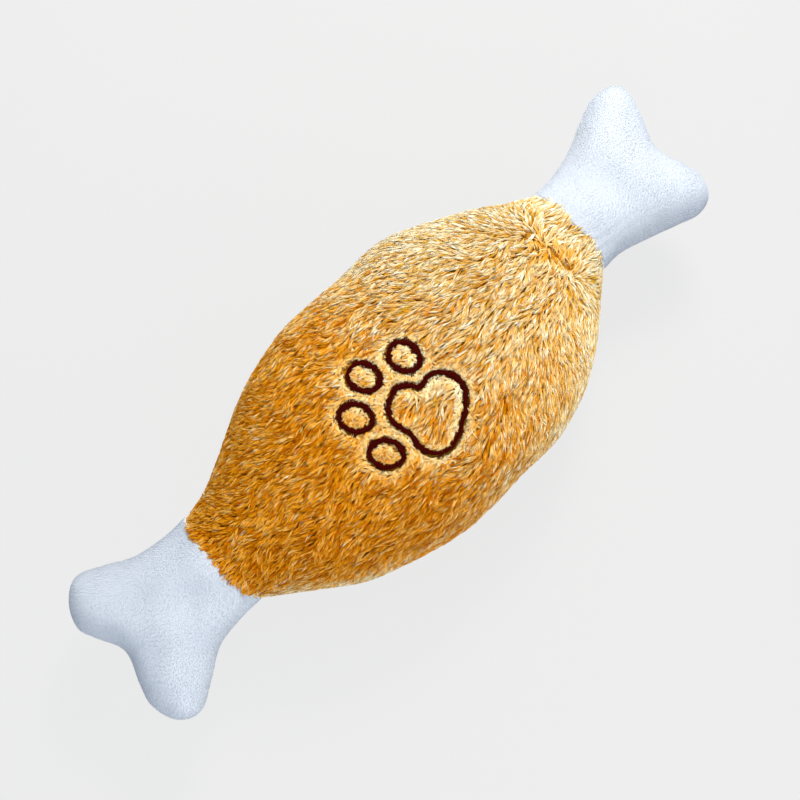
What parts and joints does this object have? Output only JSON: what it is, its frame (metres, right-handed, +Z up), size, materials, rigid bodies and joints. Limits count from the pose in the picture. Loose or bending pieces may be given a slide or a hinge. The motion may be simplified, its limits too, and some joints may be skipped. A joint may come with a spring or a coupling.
{
  "type": "plush bone dog toy",
  "caption": "Stuffed bone-shaped dog toy with a tan pile body, white short-pile bone ends, an embroidered paw outline and a squeaker inside.",
  "frame": {"origin": "on the surface the toy lies on, under the middle of its bounding box", "axes": "+X along the toy from the fuller white end to the slimmer one, +Y across it, +Z up and out of the front with the embroidered paw"},
  "size_m": [0.2195, 0.079, 0.0607],
  "materials": {
    "tan_pile": "deep-pile polyester plush, golden tan with paler tips",
    "white_cloth": "smooth short-pile polyester, cool white",
    "dark_stitch": "satin-stitch embroidery thread, very dark red-brown, slight sheen",
    "backing_sheet": "non-woven embroidery backing",
    "fibre_fill": "loose polyester fibre",
    "white_thread": "spun polyester sewing thread",
    "tan_thread": "spun polyester sewing thread",
    "soft_plastic": "soft translucent-looking plastic, satin",
    "hard_plastic": "hard moulded plastic",
    "reed_film": "thin polyester film"
  },
  "bodies": {
    "toy": {"body_front_panel": "tan_pile", "body_back_panel": "tan_pile", "left_end_front_panel": "white_cloth", "left_end_back_panel": "white_cloth", "right_end_front_panel": "white_cloth", "right_end_back_panel": "white_cloth", "paw_pad_embroidery": "dark_stitch", "paw_toe_embroidery_1": "dark_stitch", "paw_toe_embroidery_2": "dark_stitch", "paw_toe_embroidery_3": "dark_stitch", "paw_toe_embroidery_4": "dark_stitch", "embroidery_backing": "backing_sheet", "body_fill": "fibre_fill", "left_end_fill": "fibre_fill", "right_end_fill": "fibre_fill", "left_neck_seam_thread": "white_thread", "right_neck_seam_thread": "white_thread", "left_end_seam_thread": "white_thread", "right_end_seam_thread": "white_thread", "lower_side_seam_thread": "tan_thread", "upper_side_seam_thread_left": "tan_thread", "upper_side_seam_thread_right": "tan_thread", "closing_stitch_thread": "tan_thread", "squeaker_bladder": "soft_plastic"},
    "squeaker_top": {"squeaker_plug": "hard_plastic", "squeaker_reed": "reed_film", "squeaker_reed_wedge": "hard_plastic"}
  },
  "joints": [
    {"name": "squeaker_squeeze", "type": "slide", "parent": "toy", "child": "squeaker_top", "axis": [0, 0, -1], "range_m": [0, 0.008], "stiffness_N_per_m": 1000, "deforming": ["squeaker_bladder"]}
  ]
}
